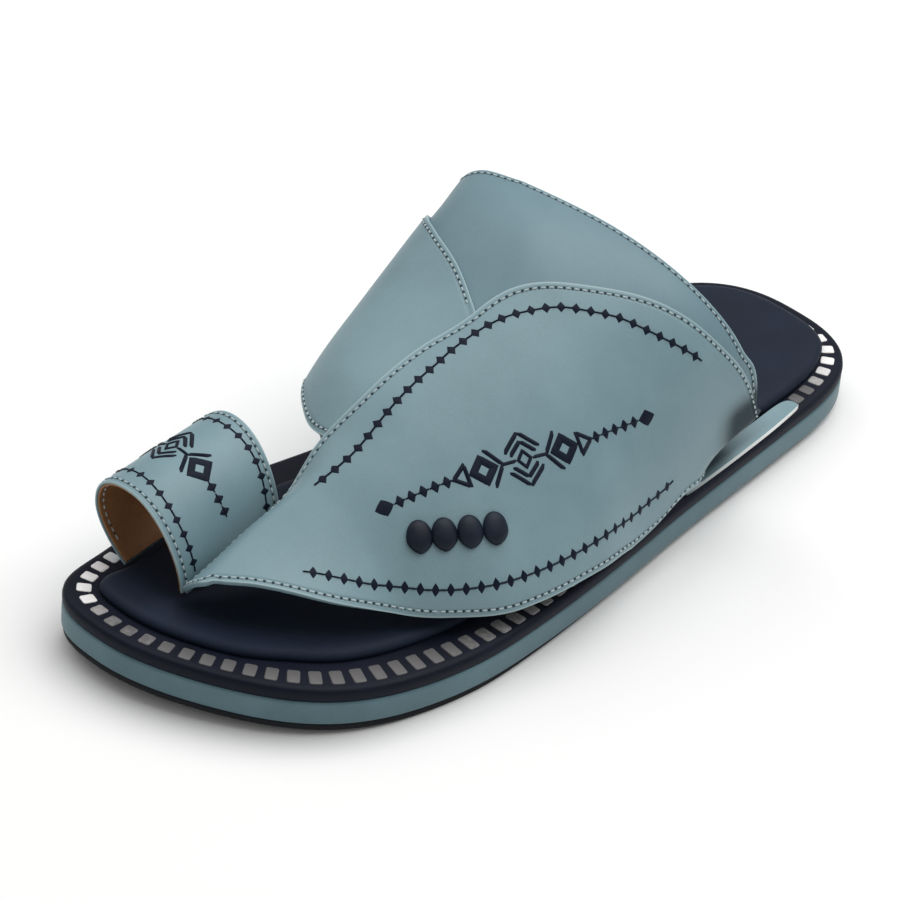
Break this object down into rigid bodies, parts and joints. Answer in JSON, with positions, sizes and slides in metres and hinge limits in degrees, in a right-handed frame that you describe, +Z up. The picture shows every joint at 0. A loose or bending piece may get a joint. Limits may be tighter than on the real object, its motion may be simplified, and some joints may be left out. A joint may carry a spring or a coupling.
{
  "type": "arabic sandal",
  "caption": "Left leather sandal with a wrapped upper of crossing straps, a leaf-shaped embroidered flap, a big-toe loop and a flat laced-edge sole.",
  "frame": {"origin": "on the flat underside of the sole, in the middle of its length", "axes": "+Z up, +Y towards the heel, +X towards the lateral side of this left shoe"},
  "size_m": [0.1143, 0.285, 0.0946],
  "materials": {
    "outsole_rubber": "matt dark rubber",
    "edge_leather": "satin blue-grey leather wrap",
    "rim_leather": "dark navy leather",
    "footbed_leather": "soft navy leather over foam",
    "upper_leather": "satin blue-grey smooth leather",
    "ornament_leather": "satin dark navy leather",
    "lining_leather": "tan lining leather",
    "lacing_leather": "white leather lacing",
    "embroidery_thread": "navy embroidery thread",
    "stitch_thread": "pale blue-grey sewing thread"
  },
  "bodies": {
    "root": {"outsole": "outsole_rubber", "midsole": "edge_leather", "rim": "rim_leather", "insole": "footbed_leather", "upper": "upper_leather", "toe_loop": "upper_leather", "lateral_tab": "upper_leather", "ornament_pad_1": "ornament_leather", "ornament_pad_2": "ornament_leather", "ornament_pad_3": "ornament_leather", "ornament_pad_4": "ornament_leather"}
  },
  "joints": []
}
